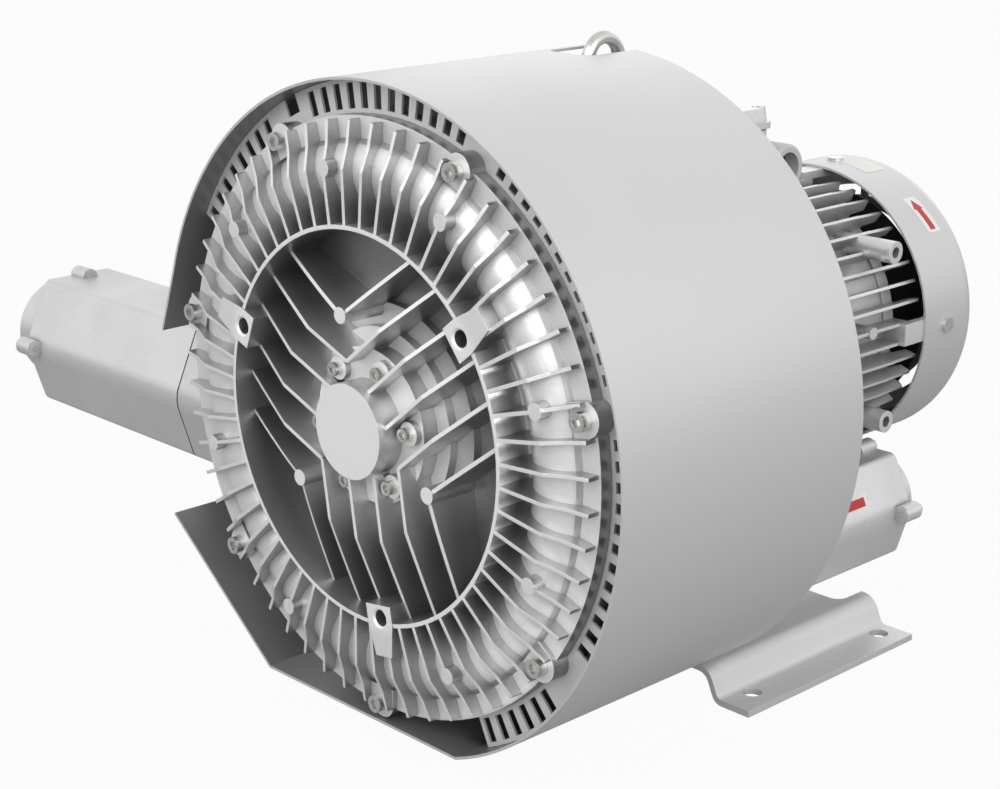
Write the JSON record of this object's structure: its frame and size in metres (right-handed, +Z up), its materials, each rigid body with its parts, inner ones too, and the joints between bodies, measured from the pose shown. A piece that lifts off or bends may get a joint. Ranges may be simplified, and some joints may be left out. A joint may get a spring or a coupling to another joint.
{
  "type": "side channel blower",
  "caption": "Two-stage side channel blower with a ribbed cast front, round sheet hood, six-sided silencers, finned motor and sheet foot.",
  "frame": {"origin": "centre of the four foot holes, on the floor", "axes": "+Z up, +Y along the motor shaft from the ribbed front cover to the fan, +X to the right seen from the front"},
  "size_m": [0.7725, 0.581, 0.4925],
  "materials": {
    "cast_body": "satin cast",
    "sheet_grey": "satin silver paint",
    "steel_plate": "satin silver paint",
    "zinc_screws": "zinc plated",
    "bare_aluminium": "machined",
    "motor_paint": "satin silver paint",
    "bearing_steel": "ground",
    "black_rubber": "matte",
    "foam": "open-cell foam",
    "core_steel": "laminated",
    "winding": "enamelled copper",
    "gland_plastic": "moulded",
    "shaft_steel": "turned",
    "impeller_aluminium": "cast",
    "fan_plastic": "moulded"
  },
  "bodies": {
    "housing": {"bearing_retainer": "bare_aluminium", "cable_gland": "gland_plastic", "casing_screws": "zinc_screws", "cover_screws": "zinc_screws", "cowl_screws": "zinc_screws", "drive_bearing": "bearing_steel", "drive_end_shield": "motor_paint", "end_shield_screws": "zinc_screws", "eyebolt": "zinc_screws", "fan_bearing": "bearing_steel", "fan_cowl": "sheet_grey", "fan_end_shield": "motor_paint", "foot_bracket": "steel_plate", "foot_nuts": "zinc_screws", "foot_screws": "zinc_screws", "front_bearing": "bearing_steel", "front_cover": "cast_body", "gland_seal": "black_rubber", "hood": "sheet_grey", "hood_brackets": "sheet_grey", "hood_ring": "sheet_grey", "hub_screws": "zinc_screws", "inlet_end_flange": "cast_body", "inlet_flange_screws": "zinc_screws", "inlet_gasket": "black_rubber", "inlet_liner": "foam", "inlet_silencer": "cast_body", "inlet_tie_screws": "zinc_screws", "interstage_bush": "bare_aluminium", "middle_casing": "cast_body", "motor_flange_screws": "zinc_screws", "motor_frame": "motor_paint", "outlet_end_flange": "cast_body", "outlet_flange_screws": "zinc_screws", "outlet_gasket": "black_rubber", "outlet_liner": "foam", "outlet_silencer": "cast_body", "outlet_tie_screws": "zinc_screws", "rear_casing": "cast_body", "shaft_seal": "black_rubber", "stator_core": "core_steel", "stator_windings": "winding", "terminal_block": "gland_plastic", "terminal_box": "motor_paint", "terminal_gasket": "black_rubber", "terminal_lid": "motor_paint", "terminal_lid_screws": "zinc_screws"},
    "rotor": {"cooling_fan": "fan_plastic", "drive_bearing_inner": "shaft_steel", "fan_bearing_inner": "shaft_steel", "fan_clip": "shaft_steel", "front_bearing_inner": "shaft_steel", "front_impeller": "impeller_aluminium", "front_spacer": "shaft_steel", "rear_impeller": "impeller_aluminium", "rotor_core": "core_steel", "shaft": "shaft_steel", "shaft_nut": "shaft_steel", "spacer_sleeve": "shaft_steel"}
  },
  "joints": [
    {"name": "rotor_spin", "type": "hinge", "parent": "housing", "child": "rotor", "pos_m": [0, 0, 0.24], "axis": [0, 1, 0], "continuous": true}
  ]
}
